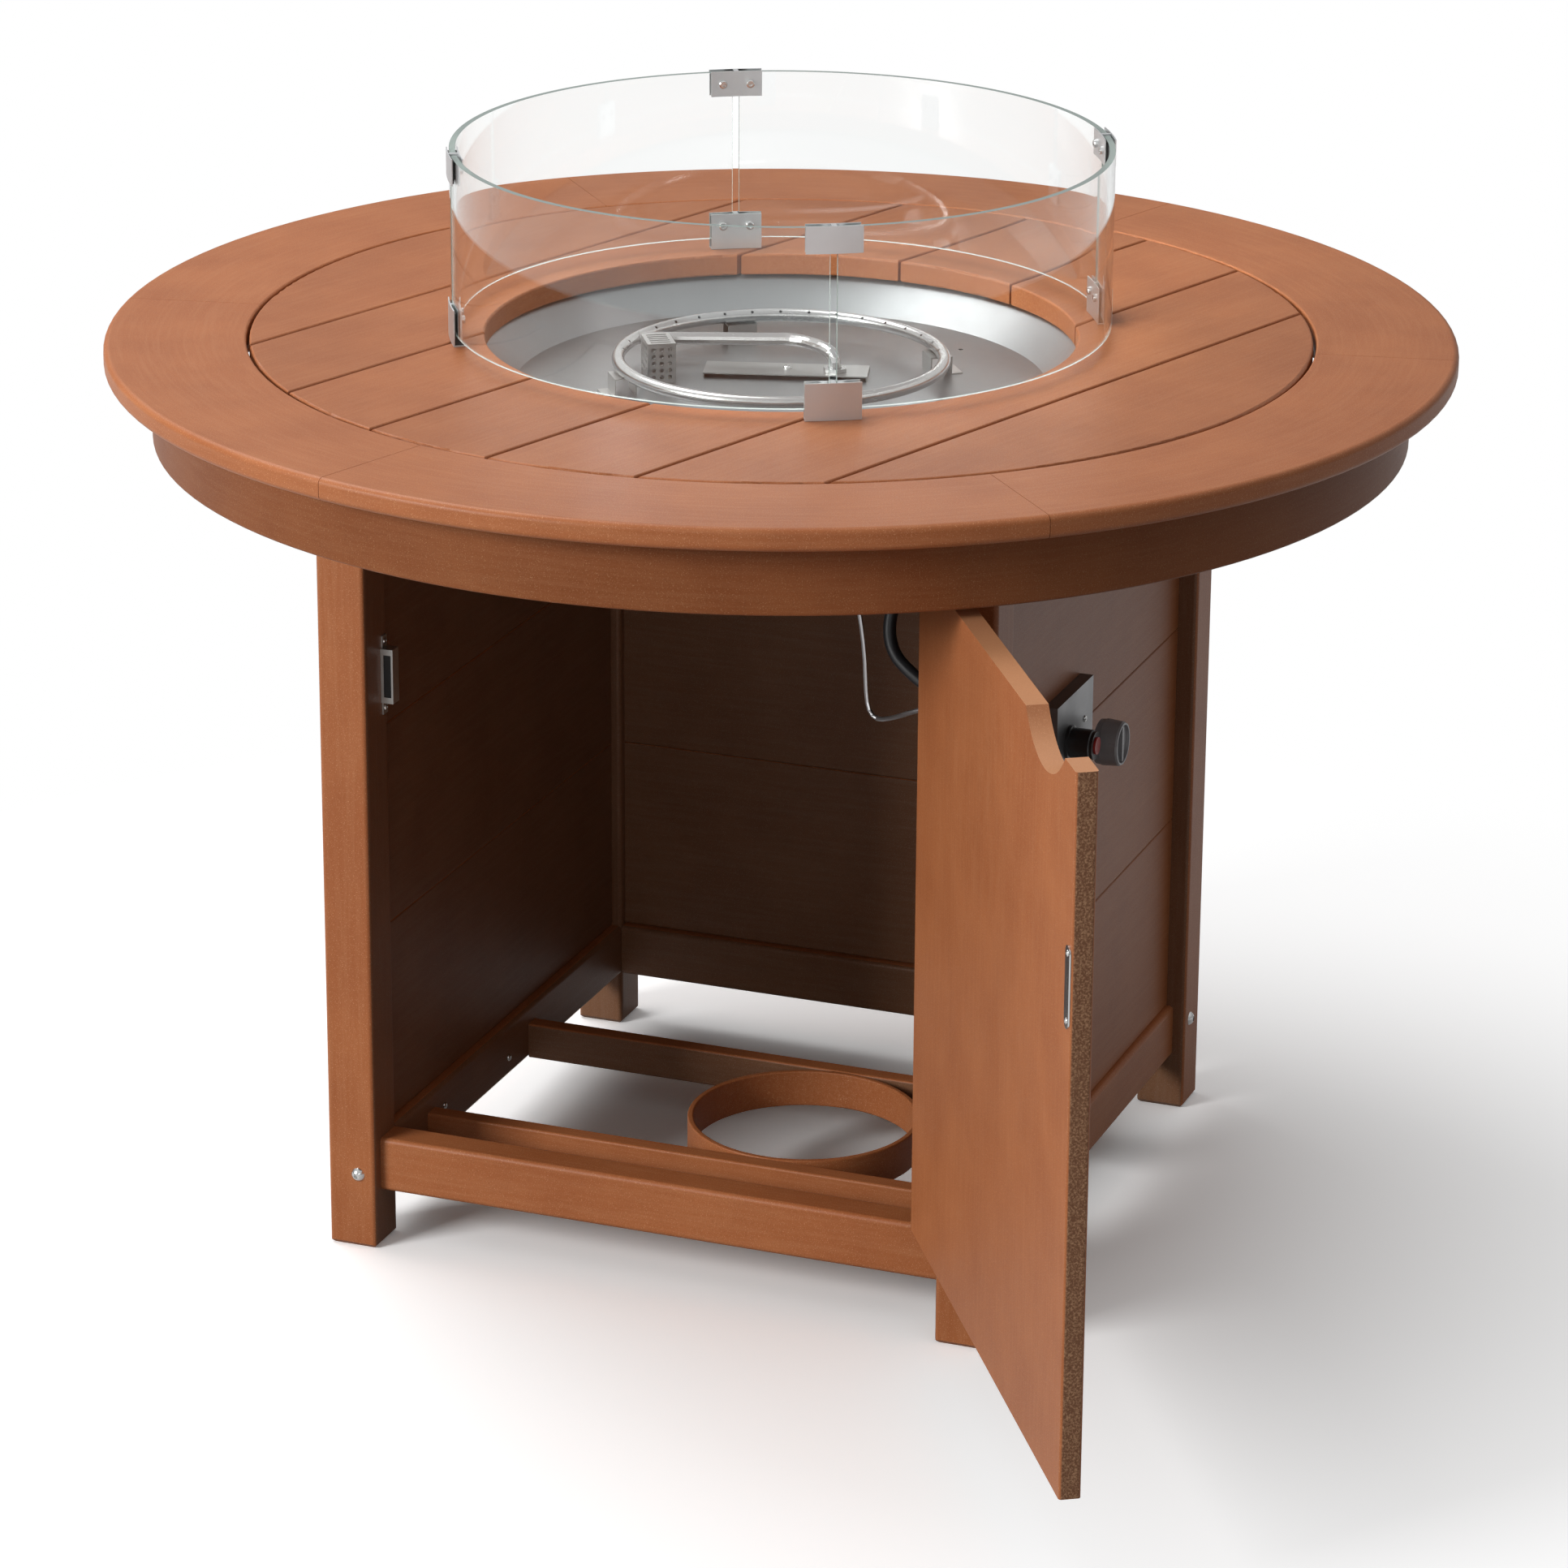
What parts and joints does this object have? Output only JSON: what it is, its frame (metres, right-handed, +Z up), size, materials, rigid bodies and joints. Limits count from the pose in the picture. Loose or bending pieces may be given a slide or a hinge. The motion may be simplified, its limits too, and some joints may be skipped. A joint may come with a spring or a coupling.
{
  "type": "gas fire pit table",
  "caption": "Round slatted gas fire pit table on a square cabinet with a hinged door, a ring burner in a steel pan, a glass wind guard, a gas valve and a push igniter.",
  "frame": {"origin": "on the floor under the middle of the round top and of the square cabinet", "axes": "+Z up, -Y towards the door (front), +X towards the side with the gas controls"},
  "size_m": [1.3198, 1.4988, 1.076],
  "materials": {
    "lumber": "embossed grain, satin",
    "stainless": "brushed",
    "tempered_glass": "clear, polished",
    "brass": "machined",
    "aluminium_tube": "drawn",
    "rubber_pad": "matt",
    "rubber_hose": "satin",
    "catch_housing": "satin",
    "magnet": "matt",
    "knob_grey": "satin",
    "igniter_black": "satin",
    "button_red": "glossy",
    "ceramic": "glazed"
  },
  "bodies": {
    "table": {"ring_boards": "lumber", "plank_1": "lumber", "plank_2": "lumber", "plank_3": "lumber", "plank_4": "lumber", "plank_5": "lumber", "plank_6": "lumber", "plank_7": "lumber", "top_battens": "lumber", "joint_cleats": "lumber", "apron_front": "lumber", "apron_back": "lumber", "post_front_left": "lumber", "post_front_right": "lumber", "post_back_left": "lumber", "post_back_right": "lumber", "rail_front_bottom": "lumber", "rail_back_bottom": "lumber", "rail_left_bottom": "lumber", "rail_right_bottom": "lumber", "top_rails": "lumber", "wall_left": "lumber", "wall_right": "lumber", "wall_back": "lumber", "cross_rail_front": "lumber", "cross_rail_back": "lumber", "tank_ring": "lumber", "frame_bolts": "stainless", "hinge_post_leaves": "stainless", "hinge_pins": "stainless", "catch_body": "catch_housing", "catch_magnets": "magnet", "fire_pan": "stainless", "pan_screws": "stainless", "burner_ring": "stainless", "burner_feed": "stainless", "burner_feet": "stainless", "burner_bracket": "stainless", "feed_locknuts": "stainless", "pilot_cage": "stainless", "spark_electrode": "ceramic", "control_box": "stainless", "gas_valve": "brass", "igniter_body": "igniter_black", "gas_hose": "rubber_hose", "pilot_tube": "aluminium_tube"},
    "door": {"door_panel": "lumber", "strike_plate": "stainless", "hinge_door_leaves": "stainless"},
    "wind_guard": {"glass_front": "tempered_glass", "glass_right": "tempered_glass", "glass_back": "tempered_glass", "glass_left": "tempered_glass", "guard_clips_top": "stainless", "guard_clips_bottom": "stainless", "guard_pads": "rubber_pad", "guard_screws": "stainless"},
    "plunger": {"valve_plunger": "brass"},
    "knob": {"valve_knob": "knob_grey"},
    "igniter_button": {"igniter_button": "button_red"}
  },
  "joints": [
    {"name": "door_hinge", "type": "hinge", "parent": "table", "child": "door", "pos_m": [0.2904, -0.3361, 0.448], "axis": [0, 0, 1], "range_deg": [-122.5, 20]},
    {"name": "guard_lift", "type": "slide", "parent": "table", "child": "wind_guard", "axis": [0, 0, 1], "range_m": [0, 0.2]},
    {"name": "knob_push", "type": "slide", "parent": "table", "child": "plunger", "axis": [-1, 0, 0], "range_m": [0, 0.004], "stiffness_N_per_m": 700},
    {"name": "knob_turn", "type": "hinge", "parent": "plunger", "child": "knob", "pos_m": [0.3585, -0.055, 0.527], "axis": [1, 0, 0], "range_deg": [0, 180]},
    {"name": "igniter_push", "type": "slide", "parent": "table", "child": "igniter_button", "axis": [-1, 0, 0], "range_m": [0, 0.004], "stiffness_N_per_m": 800}
  ]
}
